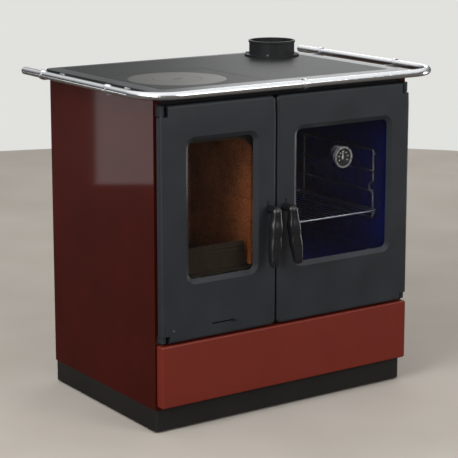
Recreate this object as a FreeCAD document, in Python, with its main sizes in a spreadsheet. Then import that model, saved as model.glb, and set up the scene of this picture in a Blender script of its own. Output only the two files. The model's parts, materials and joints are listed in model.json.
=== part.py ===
import FreeCAD, Part
import math
import os
from types import SimpleNamespace

import Sketcher

# Wood-burning cooking stove. Millimetres, +Z up, the front looks along -Y and +X is the right side.
# The origin lies on the floor under the middle of the overall footprint.

sizes = {
    # cabinet
    "body_width": 800,
    "panel_depth": 526,
    "panel_sheet": 2,
    "panel_flange": 24,
    "frame_thickness": 6,
    "base_thickness": 3,
    "deck_height": 263,
    "deck_thickness": 3,
    # plinth and feet
    "foot_pad_height": 5,
    "foot_pad_radius": 18,
    "foot_stud_radius": 5,
    "foot_stud_length": 35,
    "foot_inset_side": 40,
    "foot_inset_front": 40,
    "plinth_height": 56,
    "plinth_corner_radius": 12,
    "plinth_flange": 30,
    "corner_plate_width": 70,
    "corner_plate_thickness": 3,
    # doors
    "gap_offset": 45,
    "door_gap": 4,
    "door_side_inset": 4,
    "door_bottom": 238,
    "door_top": 839,
    "door_front_reach": 27,
    "door_back_gap": 2,
    "door_face_thickness": 10,
    "door_corner_radius": 14,
    "door_edge_radius": 8,
    "door_side_rim": 46,
    "door_end_rim": 30,
    "door_hollow_radius": 16,
    "crease_height": 782,
    "band_lean": 3,
    "window_bottom": 382,
    "window_top": 756.5,
    "fire_window_hinge_inset": 73,
    "fire_window_gap_inset": 55.5,
    "oven_window_hinge_inset": 61,
    "oven_window_gap_inset": 53,
    "window_radius": 28,
    "bevel_width": 12,
    "bevel_depth": 9,
    "glass_thickness": 4,
    "glass_margin": 9,
    "gasket_thickness": 2,
    "clip_width": 16,
    "clip_foot": 13,
    "clip_reach": 8,
    "clip_sheet": 2,
    "rope_radius": 5,
    "rope_side_inset": 36,
    "rope_end_inset": 20,
    "rope_bend": 20,
    # door hinges
    "hinge_inset": 10,
    "hinge_setback": 13,
    "pin_radius": 4,
    "pin_sink": 16,
    "block_half_width": 8,
    "block_top_height": 26,
    "block_bottom_height": 16,
    "block_bottom_lift": 2,
    "block_skin": 3,
    "notch_width": 24,
    "notch_top_height": 28,
    "notch_bottom_height": 20,
    # door handles
    "spindle_from_gap": 25,
    "spindle_height": 548,
    "spindle_radius": 4,
    "neck_radius": 11,
    "neck_length": 33,
    "grip_top": 556,
    "grip_length": 152,
    "grip_width": 34,
    "grip_depth": 27,
    "grip_side_sweep": 13.5,
    "grip_front_sweep": 9,
    "spindle_sink": 14,
    "tongue_length": 20,
    "tongue_half_width": 5,
    "tongue_thickness": 4,
    "tongue_setback": 1,
    "latch_slot_narrow_side": 6,
    "latch_slot_wide_side": 22,
    "latch_slot_margin": 4,
    "latch_slot_foot": 6,
    "mark_from_gap": 28.5,
    "mark_width": 3,
    "mark_height": 12,
    "mark_depth": 4,
    "mark_centre_height": 563,
    # front openings
    "opening_gap_inset": 47,
    "opening_outer_inset": 50,
    "fire_opening_top": 735,
    "fire_opening_radius": 60,
    "opening_radius": 12,
    "bed_showing": 3,
    "ash_opening_height": 99,
    "oven_bottom": 368,
    "oven_top": 762,
    "drawer_opening_half_width": 375,
    "drawer_opening_bottom": 72,
    "drawer_opening_top": 228,
    # firebox
    "shell_left_inset": 26,
    "shell_sheet": 3,
    "shell_width": 306,
    "shell_depth": 325,
    "passage_height": 750,
    "ledge_width": 8,
    "bed_top": 395,
    "bed_thickness": 8,
    "brick_thickness": 25,
    "brick_top": 740,
    "brick_front_gap": 14,
    "brick_joint": 1,
    "grate_width": 158,
    "grate_depth": 160,
    "grate_flange": 8,
    "grate_flange_thickness": 4,
    "grate_rib_height": 14,
    "grate_slot_width": 9,
    "grate_slot_pitch": 19,
    "grate_slot_margin": 16,
    "guard_setback": 16,
    "guard_thickness": 6,
    "guard_height": 67,
    "guard_side_margin": 18,
    "guard_rib_height": 3,
    "guard_rib_proud": 2,
    "guard_rib_lower": 44,
    "guard_rib_upper": 54,
    "guard_radius": 10,
    "pan_side_margin": 16,
    "pan_setback": 16,
    "pan_depth": 270,
    "pan_height": 70,
    "pan_sheet": 1.5,
    "pan_lip": 6,
    # oven
    "oven_sheet": 2,
    "oven_depth": 422,
    "oven_radius": 14,
    "oven_flange": 10,
    "casing_sheet": 2,
    "casing_right_gap": 13,
    "casing_depth": 512,
    "rack_wire_radius": 2.5,
    "rack_wall_gap": 6,
    "rack_front_setback": 49,
    "rack_depth": 313,
    "rack_bottom": 458,
    "rack_height": 190,
    "rack_notch_bottom": 74,
    "rack_notch_height": 24,
    "rack_notch_slope": 6,
    "rack_notch_depth": 16,
    "rack_bend": 6,
    "runner_inset": 7,
    "runner_first": 21,
    "runner_pitch": 56,
    "peg_radius": 4,
    "peg_inset": 12,
    "shelf_front_setback": 22,
    "shelf_depth": 345,
    "shelf_frame_radius": 3,
    "shelf_bend": 15,
    "shelf_wire_radius": 1.5,
    "shelf_wire_pitch": 19,
    # drawer
    "drawer_front_inset": 4,
    "drawer_front_bottom": 71,
    "drawer_front_top": 233,
    "drawer_front_wall": 4,
    "drawer_corner_radius": 5,
    "drawer_box_half_width": 370,
    "drawer_box_depth": 470,
    "drawer_box_height": 130,
    "drawer_sheet": 2,
    "skid_width": 22,
    "skid_height": 10,
    "skid_length": 490,
    # hob
    "hob_top": 872,
    "hob_thickness": 20,
    "hob_front_reach": 28,
    "hob_rear_reach": 560,
    "hob_corner_radius": 20,
    "hob_edge_radius": 1.5,
    "trim_thickness": 1.5,
    "trim_height": 18,
    "hob_opening_left": 42,
    "hob_opening_right": 37,
    "hob_opening_front": 52,
    "hob_opening_rear": 20,
    "hob_opening_radius": 14,
    "hob_ledge": 12,
    "plate_thickness": 10,
    "plate_step": 5,
    "plate_gap": 0.5,
    "fire_plate_width": 316,
    "fire_plate_depth": 302,
    "ring_from_left": 143,
    "ring_from_front": 156,
    "ring_radius": 128.5,
    "cap_radius": 64.5,
    "ring_step": 7,
    "cap_slot_length": 26,
    "cap_slot_width": 9,
    "flue_from_right": 79,
    "flue_from_rear": 85,
    "flue_bore_radius": 60,
    "flue_wall": 5,
    "flue_bead": 2,
    "flue_bead_height": 6,
    "flue_height": 45,
    "flue_flange_radius": 78,
    "flue_flange_thickness": 6,
    "flue_bolt_circle": 71.5,
    "flue_bolt_radius": 3,
    "flue_bolt_head_radius": 4.5,
    "flue_bolt_head_height": 4,
    # towel rail
    "rail_reach": 90,
    "rail_half_width": 460,
    "rail_radius": 10,
    "rail_corner_radius": 95,
    "rail_drop": 1,
    "rail_rear_gap": 2,
    "rail_end_radius": 4,
    "sleeve_radius": 13,
    "sleeve_length": 10,
    "stem_width": 9,
    "stem_top_drop": 3,
    "stem_height": 11,
    "rose_width": 26,
    "rose_thickness": 3,
    "rose_lift": 1,
    "bracket_front": 115,
    "bracket_rear": 450,
    # air slider and stop screw of the fire door
    "air_slot_width": 70,
    "air_slot_height": 4,
    "air_slot_from_hinge": 150,
    "air_slot_centre_height": 272,
    "air_tab_width": 6,
    "air_tab_proud": 10,
    "air_plate_width": 132,
    "air_plate_height": 16,
    "air_plate_thickness": 2,
    "air_plate_past_tab": 50,
    "guide_height": 4,
    "guide_lip": 5,
    "guide_lip_thickness": 2,
    "screw_from_hinge": 34.5,
    "screw_height": 270.5,
    "screw_head_radius": 3.5,
    "screw_head_proud": 1.5,
    "screw_shank_radius": 1.5,
    "screw_shank_length": 8,
    # oven thermometer
    "dial_from_gap": 215,
    "dial_drop": 99.5,
    "case_radius": 28.5,
    "case_wall": 1.5,
    "bezel_lip": 3,
    "case_setback": 0.5,
    "dial_thickness": 1,
    "dial_lift": 3,
    "lens_thickness": 1.5,
    "needle_length": 19,
    "needle_tail": 6,
    "needle_half_width": 1.2,
    "needle_thickness": 0.8,
    "hub_radius": 3,
    "pivot_radius": 1.5,
    "pivot_length": 2.4,
    "stem_radius": 3,
    "stem_inside_oven": 12,
    "nut_radius": 8,
    "nut_height": 5,
    # clearances
    "seat_gap": 0.3,
    "pin_gap": 0.05,
    "cut_overrun": 1,
    "weld_seam": 0.1,
    "match_gap": 0.01,
}

# Places along the door grip: share of its length from the top, of its width, depth and two sweeps.
grip_section_shares = [
    (0, 0.42, 0.42, 0, 0),
    (0.02, 0.64, 0.66, 0.02, 0),
    (0.08, 0.8, 0.84, 0.06, 0.02),
    (0.24, 0.94, 0.95, 0.16, 0.1),
    (0.5, 1, 1, 0.42, 0.32),
    (0.76, 0.95, 0.93, 0.76, 0.67),
    (0.93, 0.78, 0.76, 0.95, 0.92),
    (0.98, 0.6, 0.56, 0.99, 0.99),
    (1, 0.38, 0.36, 1, 1),
]
grip_round_share = 0.92

# Place of a glass clip: share of the pane's width from each side
clip_place_share = 1 / 6

# Slots and wires on each side of the middle one, and runners of an oven rack
grate_slots_beside = 3
shelf_wires_beside = 7
rack_runners = 3

# Corner angle of the flue bolts round the collar
flue_bolt_degrees = 45

doc = FreeCAD.newDocument("Stove")
sheet = doc.addObject("Spreadsheet::Sheet", "Sizes")
for row, (name, value) in enumerate(sizes.items(), 1):
    sheet.set(f"A{row}", name)
    sheet.set(f"B{row}", str(value))
    sheet.setAlias(f"B{row}", name)
doc.recompute()


class Length:
    """A length in millimetres, with the way it follows from the named sizes."""

    def __init__(self, value, text):
        self.value = value
        self.text = text

    def __add__(self, other):
        return Length(self.value + other.value, f"({self.text} + {other.text})")

    def __sub__(self, other):
        return Length(self.value - other.value, f"({self.text} - {other.text})")

    def __neg__(self):
        return Length(-self.value, f"(0 - {self.text})")

    def __mul__(self, factor):
        return Length(self.value * factor, f"({self.text} * {factor})")

    def __truediv__(self, factor):
        return Length(self.value / factor, f"({self.text} / {factor})")


mm = SimpleNamespace(**{name: Length(value, f"Sizes.{name}") for name, value in sizes.items()})
zero = Length(0, "0")
origin_planes = {"XY": ("XY_Plane", 1), "XZ": ("XZ_Plane", -1), "YZ": ("YZ_Plane", 1)}
parts = {}


def middle(low, high):
    return (low + high) / 2


def rectangle(left, right, bottom, top, radius=None):
    corners = [(left, bottom), (right, bottom), (right, top), (left, top)]
    return outline(corners, radius)


def outline(corners, radius=None):
    return [(a, b, radius) for a, b in corners]


def circle(a, b, radius):
    return (a, b, radius)


def grown(left, right, bottom, top, step, radius=None):
    return rectangle(left - step, right + step, bottom - step, top + step, radius)


def keep(label, thing):
    thing.Label = label
    parts[label] = thing
    return thing


def draw_circle(sketch, a, b, radius):
    centre = FreeCAD.Vector(a.value, b.value, 0)
    ring = sketch.addGeometry(Part.Circle(centre, FreeCAD.Vector(0, 0, 1), radius.value), False)
    limits = [("DistanceX", a), ("DistanceY", b)]
    for kind, length in limits:
        number = sketch.addConstraint(Sketcher.Constraint(kind, -1, 1, ring, 3, length.value))
        sketch.setExpression(f"Constraints[{number}]", length.text)
    number = sketch.addConstraint(Sketcher.Constraint("Radius", ring, radius.value))
    sketch.setExpression(f"Constraints[{number}]", radius.text)


def draw_path(sketch, corners, closed=True):
    """Straight runs joined by tangent arcs. A corner without a radius stays sharp."""
    spots = [FreeCAD.Vector(a.value, b.value, 0) for a, b, _ in corners]
    count = len(spots)
    run_count = count if closed else count - 1
    arrive = list(spots)
    leave = list(spots)
    arcs = {}
    for i, (_, _, radius) in enumerate(corners):
        if radius is None or (not closed and i in (0, count - 1)):
            continue
        back = (spots[i - 1] - spots[i]).normalize()
        ahead = (spots[(i + 1) % count] - spots[i]).normalize()
        half_angle = back.getAngle(ahead) / 2
        reach = radius.value / math.tan(half_angle)
        arrive[i] = spots[i] + back * reach
        leave[i] = spots[i] + ahead * reach
        centre = spots[i] + (back + ahead).normalize() * (radius.value / math.sin(half_angle))
        turns_left = back.cross(ahead).z < 0
        ends = (arrive[i], leave[i]) if turns_left else (leave[i], arrive[i])
        first, last = [math.atan2(p.y - centre.y, p.x - centre.x) for p in ends]
        if last < first:
            last += 2 * math.pi
        round_edge = Part.Circle(centre, FreeCAD.Vector(0, 0, 1), radius.value)
        arcs[i] = (Part.ArcOfCircle(round_edge, first, last), turns_left)
    runs = []
    for i in range(run_count):
        line = Part.LineSegment(leave[i], arrive[(i + 1) % count])
        runs.append(sketch.addGeometry(line, False))
    rules = []
    bound = []
    for i, (a, b, radius) in enumerate(corners):
        before = runs[i - 1] if closed or i > 0 else None
        after = runs[i % run_count] if closed or i < run_count else None
        if i in arcs:
            arc, turns_left = arcs[i]
            bend = sketch.addGeometry(arc, False)
            spot = sketch.addGeometry(Part.Point(spots[i]), True)
            start, stop = (1, 2) if turns_left else (2, 1)
            rules.append(Sketcher.Constraint("Tangent", before, 2, bend, start))
            rules.append(Sketcher.Constraint("Tangent", bend, stop, after, 1))
            rules.append(Sketcher.Constraint("PointOnObject", spot, 1, before))
            rules.append(Sketcher.Constraint("PointOnObject", spot, 1, after))
            bound.append((len(rules), radius))
            rules.append(Sketcher.Constraint("Radius", bend, radius.value))
            point = (spot, 1)
        else:
            if before is not None and after is not None:
                rules.append(Sketcher.Constraint("Coincident", before, 2, after, 1))
            point = (after, 1) if after is not None else (before, 2)
        for kind, length in (("DistanceX", a), ("DistanceY", b)):
            bound.append((len(rules), length))
            rules.append(Sketcher.Constraint(kind, -1, 1, *point, length.value))
    offset = sketch.ConstraintCount
    sketch.addConstraint(rules)
    for place, length in bound:
        sketch.setExpression(f"Constraints[{offset + place}]", length.text)


class Piece:
    """One body, made feature by feature from sketches on its origin planes."""

    def __init__(self, label):
        self.body = keep(label, doc.addObject("PartDesign::Body", "Body"))

    def sketch(self, plane, height, loops, closed=True, shift=(zero, zero)):
        role, sense = origin_planes[plane]
        drawing = self.body.newObject("Sketcher::SketchObject", "Sketch")
        datum = next(item for item in self.body.Origin.OriginFeatures if item.Role == role)
        drawing.AttachmentSupport = [(datum, "")]
        drawing.MapMode = "FlatFace"
        drawing.setExpression("AttachmentOffset.Base.x", shift[0].text)
        drawing.setExpression("AttachmentOffset.Base.y", shift[1].text)
        drawing.setExpression("AttachmentOffset.Base.z", (height * sense).text)
        for loop in loops:
            if isinstance(loop, tuple):
                draw_circle(drawing, *loop)
            else:
                draw_path(drawing, loop, closed)
        return drawing

    def feature(self, kind, drawing):
        made = self.body.newObject(f"PartDesign::{kind}", kind)
        made.Profile = drawing
        return made

    def pad(self, plane, start, end, *loops):
        facing = origin_planes[plane][1] > 0
        made = self.feature("Pad", self.sketch(plane, start if facing else end, loops))
        made.setExpression("Length", (end - start).text)
        return self

    def pocket(self, plane, start, end, *loops):
        facing = origin_planes[plane][1] > 0
        made = self.feature("Pocket", self.sketch(plane, end if facing else start, loops))
        made.setExpression("Length", (end - start).text)
        return self

    def slice(self, plane, *loops):
        made = self.feature("Pocket", self.sketch(plane, zero, loops))
        made.Type = "ThroughAll"
        made.SideType = "Symmetric"
        return self

    def loft(self, kind, plane, sections, ruled):
        drawings = [self.sketch(plane, height, [loop]) for height, loop in sections]
        made = self.feature(kind, drawings[0])
        made.Sections = drawings[1:]
        made.Ruled = ruled
        return self

    def turn(self, plane, height, shift, loop, axis="V_Axis"):
        drawing = self.sketch(plane, height, [loop], shift=shift)
        made = self.feature("Revolution", drawing)
        made.ReferenceAxis = (drawing, [axis])
        return self

    def wire(self, plane, height, corners, radius, closed=False):
        """A round bar along a path whose first run lies along one of the part's axes."""
        path = self.sketch(plane, height, [corners], closed)
        place = {plane[0]: corners[0][0], plane[1]: corners[0][1]}
        place[next(axis for axis in "XYZ" if axis not in plane)] = height
        first, second = corners[0], corners[1]
        along = 0 if abs(second[0].value - first[0].value) > abs(second[1].value - first[1].value) else 1
        if closed:
            forward = second[along].value > first[along].value
            bend = first[2]
            place[plane[along]] = place[plane[along]] + (bend if forward else -bend)
        across = "".join(axis for axis in "XYZ" if axis != plane[along])
        section = circle(place[across[0]], place[across[1]], radius)
        made = self.feature("AdditivePipe", self.sketch(across, place[plane[along]], [section]))
        made.Spine = path
        return self

    def fillet(self, radius, choose):
        doc.recompute()
        base = self.body.Tip
        names = [f"Edge{i}" for i, edge in enumerate(base.Shape.Edges, 1) if choose(edge.BoundBox)]
        made = self.body.newObject("PartDesign::Fillet", "Fillet")
        made.Base = (base, names)
        made.setExpression("Radius", radius.text)
        return self


def near(first, second):
    return abs(first - second) < mm.match_gap.value


# Planes that several pieces share
half_width = mm.body_width / 2
front_reach = mm.rail_reach - mm.rail_radius + mm.sleeve_radius
panel_front = (front_reach - mm.hob_rear_reach) / 2
panel_back = panel_front + mm.panel_depth
panel_inside = half_width - mm.panel_sheet
frame_front = panel_front + mm.panel_sheet
frame_back = frame_front + mm.frame_thickness
plinth_top = mm.foot_pad_height + mm.plinth_height
base_top = plinth_top + mm.base_thickness
cabinet_top = mm.hob_top - mm.hob_thickness
back_panel_front = panel_back - mm.panel_sheet * 2
deck_top = mm.deck_height + mm.deck_thickness
gap_centre = -mm.gap_offset
door_front = panel_front - mm.door_front_reach
door_back = panel_front - mm.door_back_gap
face_back = door_front + mm.door_face_thickness
rope_height = frame_front - mm.seat_gap - mm.rope_radius

# The two doors: where each starts and ends, with -1 or 1 for the side of the hinge
fire = SimpleNamespace(
    side=-1,
    low=mm.door_side_inset - half_width,
    high=gap_centre - mm.door_gap / 2,
    window_low=mm.fire_window_hinge_inset,
    window_high=mm.fire_window_gap_inset,
)
oven = SimpleNamespace(
    side=1,
    low=gap_centre + mm.door_gap / 2,
    high=half_width - mm.door_side_inset,
    window_low=mm.oven_window_gap_inset,
    window_high=mm.oven_window_hinge_inset,
)
for door in (fire, oven):
    door.outer = door.low if door.side < 0 else door.high
    door.hinge = door.outer - mm.hinge_inset * door.side
    door.spindle = gap_centre + mm.spindle_from_gap * door.side
    low = door.low + door.window_low
    high = door.high - door.window_high
    bottom, top = mm.window_bottom, mm.window_top
    door.window = (low, high, bottom, top)
    bevel = mm.bevel_width
    door.clear = (low + bevel, high - bevel, bottom + bevel, top - bevel)
hinge_axis = door_front + mm.hinge_setback
dial_x = oven.low + mm.dial_from_gap
dial_z = mm.window_top - mm.dial_drop

# Openings of the front frame, left, right, bottom and top
fire_left = fire.low + mm.opening_outer_inset
fire_right = fire.high - mm.opening_gap_inset
oven_left = oven.low + mm.opening_gap_inset
oven_right = oven.high - mm.opening_outer_inset
shell_left = mm.shell_left_inset - half_width
shell_right = shell_left + mm.shell_width
shell_back = frame_back + mm.shell_depth
shell_floor = deck_top + mm.shell_sheet
bed_bottom = mm.bed_top - mm.bed_thickness


def make_plinth():
    plinth = Piece("plinth")
    ring = (-half_width, half_width, panel_front, panel_back)
    radius = mm.plinth_corner_radius
    inner_radius = radius - mm.panel_sheet
    plinth.pad("XY", mm.foot_pad_height, plinth_top, rectangle(*ring, radius))
    hollow = grown(*ring, -mm.plinth_flange, radius)
    plinth.pocket("XY", mm.foot_pad_height, plinth_top, hollow)
    flange_bottom = plinth_top - mm.panel_sheet
    wall_inside = grown(*ring, -mm.panel_sheet, inner_radius)
    plinth.pocket("XY", mm.foot_pad_height, flange_bottom, wall_inside)
    plate_top = mm.foot_pad_height + mm.corner_plate_thickness
    inside = mm.panel_sheet / 2
    reach = mm.corner_plate_width
    left, right, low, high = ring
    corners = [
        rectangle(left + inside, left + reach, low + inside, low + reach, inner_radius),
        rectangle(right - reach, right - inside, low + inside, low + reach, inner_radius),
        rectangle(left + inside, left + reach, high - reach, high - inside, inner_radius),
        rectangle(right - reach, right - inside, high - reach, high - inside, inner_radius),
    ]
    plinth.pad("XY", mm.foot_pad_height, plate_top, *corners)
    hole = mm.foot_stud_radius + mm.seat_gap
    holes = [circle(x, y, hole) for x, y in foot_places()]
    plinth.pocket("XY", mm.foot_pad_height, plate_top, *holes)


def foot_places():
    across = half_width - mm.foot_inset_side
    rows = (panel_front + mm.foot_inset_front, panel_back - mm.foot_inset_front)
    return [(x, y) for x in (-across, across) for y in rows]


def make_feet():
    feet = Piece("levelling_feet")
    top = mm.foot_pad_height + mm.foot_stud_length
    pads = [circle(x, y, mm.foot_pad_radius) for x, y in foot_places()]
    studs = [circle(x, y, mm.foot_stud_radius) for x, y in foot_places()]
    feet.pad("XY", zero, mm.foot_pad_height, *pads)
    feet.pad("XY", mm.foot_pad_height, top, *studs)


def make_panels():
    base = Piece("base_plate")
    floor = rectangle(-panel_inside, panel_inside, frame_front, back_panel_front)
    base.pad("XY", plinth_top, base_top, floor)
    for label, side in (("side_panel_left", -1), ("side_panel_right", 1)):
        outer = half_width * side
        wall = panel_inside * side
        lip = (half_width - mm.panel_flange) * side
        front, back = panel_front, panel_back
        inner_front, inner_back = front + mm.panel_sheet, back - mm.panel_sheet
        corners = [(outer, front), (lip, front), (lip, inner_front), (wall, inner_front)]
        corners += [(wall, inner_back), (lip, inner_back), (lip, back), (outer, back)]
        Piece(label).pad("XY", plinth_top, cabinet_top, outline(corners))
    back_panel = Piece("back_panel")
    back_edge = panel_back - mm.panel_sheet
    wide = rectangle(-panel_inside, panel_inside, back_panel_front, back_edge)
    back_panel.pad("XY", plinth_top, cabinet_top, wide)
    deck = Piece("deck")
    plate = rectangle(-panel_inside, panel_inside, frame_back, back_panel_front)
    deck.pad("XY", mm.deck_height, deck_top, plate)


def make_front_frame():
    frame = Piece("front_frame")
    plate = rectangle(-panel_inside, panel_inside, base_top, cabinet_top)
    frame.pad("XZ", frame_front, frame_back, plate)
    low = mm.bed_top - mm.bed_showing
    top = mm.fire_opening_top
    arch = mm.fire_opening_radius
    fire_opening = [(fire_left, low, mm.opening_radius), (fire_right, low, mm.opening_radius)]
    fire_opening += [(fire_right, top, arch), (fire_left, top, arch)]
    ash_top = shell_floor + mm.ash_opening_height
    ash_opening = rectangle(fire_left, fire_right, shell_floor, ash_top)
    oven_opening = rectangle(oven_left, oven_right, mm.oven_bottom, mm.oven_top, mm.oven_radius)
    wide = mm.drawer_opening_half_width
    drawer_place = (-wide, wide, mm.drawer_opening_bottom, mm.drawer_opening_top)
    drawer_opening = rectangle(*drawer_place, mm.opening_radius)
    slots = []
    for door in (fire, oven):
        wide_end = door.spindle - mm.latch_slot_wide_side * door.side
        narrow_end = door.spindle + mm.latch_slot_narrow_side * door.side
        left, right = (wide_end, narrow_end) if door.side > 0 else (narrow_end, wide_end)
        slot_bottom = mm.spindle_height - mm.latch_slot_foot
        slot_top = mm.spindle_height + mm.tongue_length + mm.latch_slot_margin
        slots.append(rectangle(left, right, slot_bottom, slot_top))
    openings = [fire_opening, ash_opening, oven_opening, drawer_opening]
    frame.pocket("XZ", frame_front, frame_back, *openings, *slots)

    # The frame is welded up from straight bars and small corner pieces, with a hairline seam between them
    seam = mm.weld_seam
    edge = panel_inside + mm.cut_overrun
    split_x = oven_left - mm.opening_radius
    into_fire = fire_right - mm.opening_radius
    into_oven = oven_left + mm.opening_radius
    levels = [
        (-edge, edge, mm.drawer_opening_bottom + mm.opening_radius),
        (-edge, edge, mm.drawer_opening_top - mm.opening_radius),
        (-edge, edge, shell_floor),
        (-edge, edge, ash_top - seam),
        (-edge, split_x, low + mm.opening_radius),
        (split_x, edge, mm.oven_bottom + mm.oven_radius),
        (into_fire, into_oven, slot_bottom - seam),
        (into_fire, into_oven, slot_top),
        (-edge, into_oven, top - arch),
    ]
    level_seams = [rectangle(start, end, z, z + seam) for start, end, z in levels]
    frame.pocket("XZ", frame_front, frame_back, *level_seams)
    drawer_corner = wide - mm.opening_radius
    frame_top = cabinet_top + mm.cut_overrun
    oven_corner = mm.oven_top - mm.oven_radius
    uprights = [
        (-drawer_corner, base_top - mm.cut_overrun, mm.drawer_opening_bottom + seam),
        (drawer_corner, base_top - mm.cut_overrun, mm.drawer_opening_bottom + seam),
        (-drawer_corner, mm.drawer_opening_top - seam, shell_floor + seam),
        (drawer_corner, mm.drawer_opening_top - seam, shell_floor + seam),
        (fire_left + mm.opening_radius, ash_top - seam, low + seam),
        (into_fire, ash_top - seam, low + seam),
        (split_x, ash_top - seam, low + mm.opening_radius + seam),
        (fire_left + arch, top - seam, frame_top),
        (fire_right - arch, top - seam, frame_top),
        (oven_left - seam, oven_corner, frame_top),
        (oven_right, oven_corner, frame_top),
    ]
    upright_seams = [rectangle(x, x + seam, start, end) for x, start, end in uprights]
    frame.pocket("XZ", frame_front, frame_back, *upright_seams)


def make_firebox():
    sheet = mm.shell_sheet
    shell = Piece("firebox_shell")
    shell.pad("XY", deck_top, cabinet_top, rectangle(shell_left, shell_right, frame_back, shell_back))
    inner_left, inner_right, inner_back = shell_left + sheet, shell_right - sheet, shell_back - sheet
    inside = rectangle(inner_left, inner_right, frame_back, inner_back)
    shell.pocket("XY", shell_floor, cabinet_top, inside)
    passage = rectangle(frame_back, inner_back, mm.passage_height, cabinet_top)
    shell.pocket("YZ", inner_right, shell_right, passage)
    ledge = mm.ledge_width
    rests = [
        rectangle(inner_left, inner_left + ledge, bed_bottom - ledge, bed_bottom),
        rectangle(inner_right - ledge, inner_right, bed_bottom - ledge, bed_bottom),
    ]
    shell.pad("XZ", frame_back, inner_back, *rests)
    bed = Piece("fire_bed")
    bed.pad("XY", bed_bottom, mm.bed_top, inside)
    grate = grate_place()
    flange_bottom = mm.bed_top - mm.grate_flange_thickness
    bed.pocket("XY", flange_bottom, mm.bed_top, grown(*grate, mm.seat_gap))
    bed.pocket("XY", bed_bottom, flange_bottom, grown(*grate, mm.seat_gap - mm.grate_flange))
    thick = mm.brick_thickness
    brick_front = frame_back + mm.brick_front_gap
    brick_back = inner_back - thick
    between = mm.brick_joint / 2
    split_y = middle(brick_front, brick_back)
    split_z = middle(mm.bed_top, mm.brick_top)
    courses = [(mm.bed_top, split_z - between), (split_z + between, mm.brick_top)]
    for label, left in (("firebrick_left", inner_left), ("firebrick_right", inner_right - thick)):
        bricks = []
        for bottom, top in courses:
            bricks.append(rectangle(brick_front, split_y - between, bottom, top))
            bricks.append(rectangle(split_y + between, brick_back, bottom, top))
        Piece(label).pad("YZ", left, left + thick, *bricks)
    split_x = middle(inner_left, inner_right)
    rear = []
    for bottom, top in courses:
        rear.append(rectangle(inner_left, split_x - between, bottom, top))
        rear.append(rectangle(split_x + between, inner_right, bottom, top))
    Piece("firebrick_rear").pad("XZ", brick_back, inner_back, *rear)


def grate_place():
    centre_x = middle(shell_left, shell_right)
    centre_y = middle(frame_back, shell_back)
    half_x, half_y = mm.grate_width / 2, mm.grate_depth / 2
    return (centre_x - half_x, centre_x + half_x, centre_y - half_y, centre_y + half_y)


def make_grate():
    place = grate_place()
    left, right, low, high = place
    grate = Piece("fire_grate")
    flange_bottom = mm.bed_top - mm.grate_flange_thickness + mm.seat_gap
    grate.pad("XY", flange_bottom, mm.bed_top, rectangle(*place))
    body = grown(*place, -mm.grate_flange - mm.seat_gap)
    grate.pad("XY", flange_bottom - mm.grate_rib_height, flange_bottom, body)
    slots = []
    centre = middle(left, right)
    for number in range(-grate_slots_beside, grate_slots_beside + 1):
        edge = centre + mm.grate_slot_pitch * number - mm.grate_slot_width / 2
        far = edge + mm.grate_slot_width
        slots.append(rectangle(edge, far, low + mm.grate_slot_margin, high - mm.grate_slot_margin))
    grate.pocket("XY", flange_bottom - mm.grate_rib_height, mm.bed_top, *slots)


def make_guard():
    guard = Piece("log_guard")
    left, right = fire_left + mm.guard_side_margin, fire_right - mm.guard_side_margin
    front = frame_back + mm.guard_setback
    back = front + mm.guard_thickness
    bottom = mm.bed_top + mm.seat_gap
    top = bottom + mm.guard_height
    radius = mm.guard_radius
    corners = [(left, bottom, None), (right, bottom, None), (right, top, radius), (left, top, radius)]
    guard.pad("XZ", front, back, corners)
    for lift in (mm.guard_rib_lower, mm.guard_rib_upper):
        rib = rectangle(left, right, bottom + lift, bottom + lift + mm.guard_rib_height)
        guard.pad("XZ", front - mm.guard_rib_proud, front, rib)


def make_ash_pan():
    pan = Piece("ash_pan")
    left, right = fire_left + mm.pan_side_margin, fire_right - mm.pan_side_margin
    front = frame_back + mm.pan_setback
    bottom = shell_floor + mm.seat_gap
    top = bottom + mm.pan_height
    place = (left, right, front, front + mm.pan_depth)
    pan.pad("XY", bottom, top, rectangle(*place))
    pan.pad("XY", top - mm.pan_sheet, top, grown(*place, mm.pan_lip))
    pan.pocket("XY", bottom + mm.pan_sheet, top, grown(*place, -mm.pan_sheet))


def make_oven():
    sheet = mm.oven_sheet
    inside = (oven_left, oven_right, mm.oven_bottom, mm.oven_top)
    back = frame_back + mm.oven_depth
    cavity = Piece("oven_cavity")
    cavity.pad("XZ", frame_back, back + sheet, grown(*inside, sheet, mm.oven_radius + sheet))
    cavity.pad("XZ", frame_back, frame_back + sheet, grown(*inside, mm.oven_flange, mm.oven_radius))
    cavity.pocket("XZ", frame_back, back, rectangle(*inside, mm.oven_radius))
    casing = Piece("smoke_casing")
    thin = mm.casing_sheet
    right = oven_right + mm.casing_right_gap
    rear = frame_back + mm.casing_depth
    walls = [(shell_right, shell_back), (shell_right, rear + thin), (right + thin, rear + thin)]
    walls += [(right + thin, frame_back), (right, frame_back), (right, rear)]
    walls += [(shell_right + thin, rear), (shell_right + thin, shell_back)]
    casing.pad("XY", deck_top, cabinet_top, outline(walls))
    floor = rectangle(shell_right, right + thin, frame_back, rear + thin)
    casing.pad("XY", deck_top, deck_top + thin, floor)


def rack_levels():
    first = mm.rack_bottom + mm.runner_first
    return [first + mm.runner_pitch * number for number in range(rack_runners)]


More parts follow.
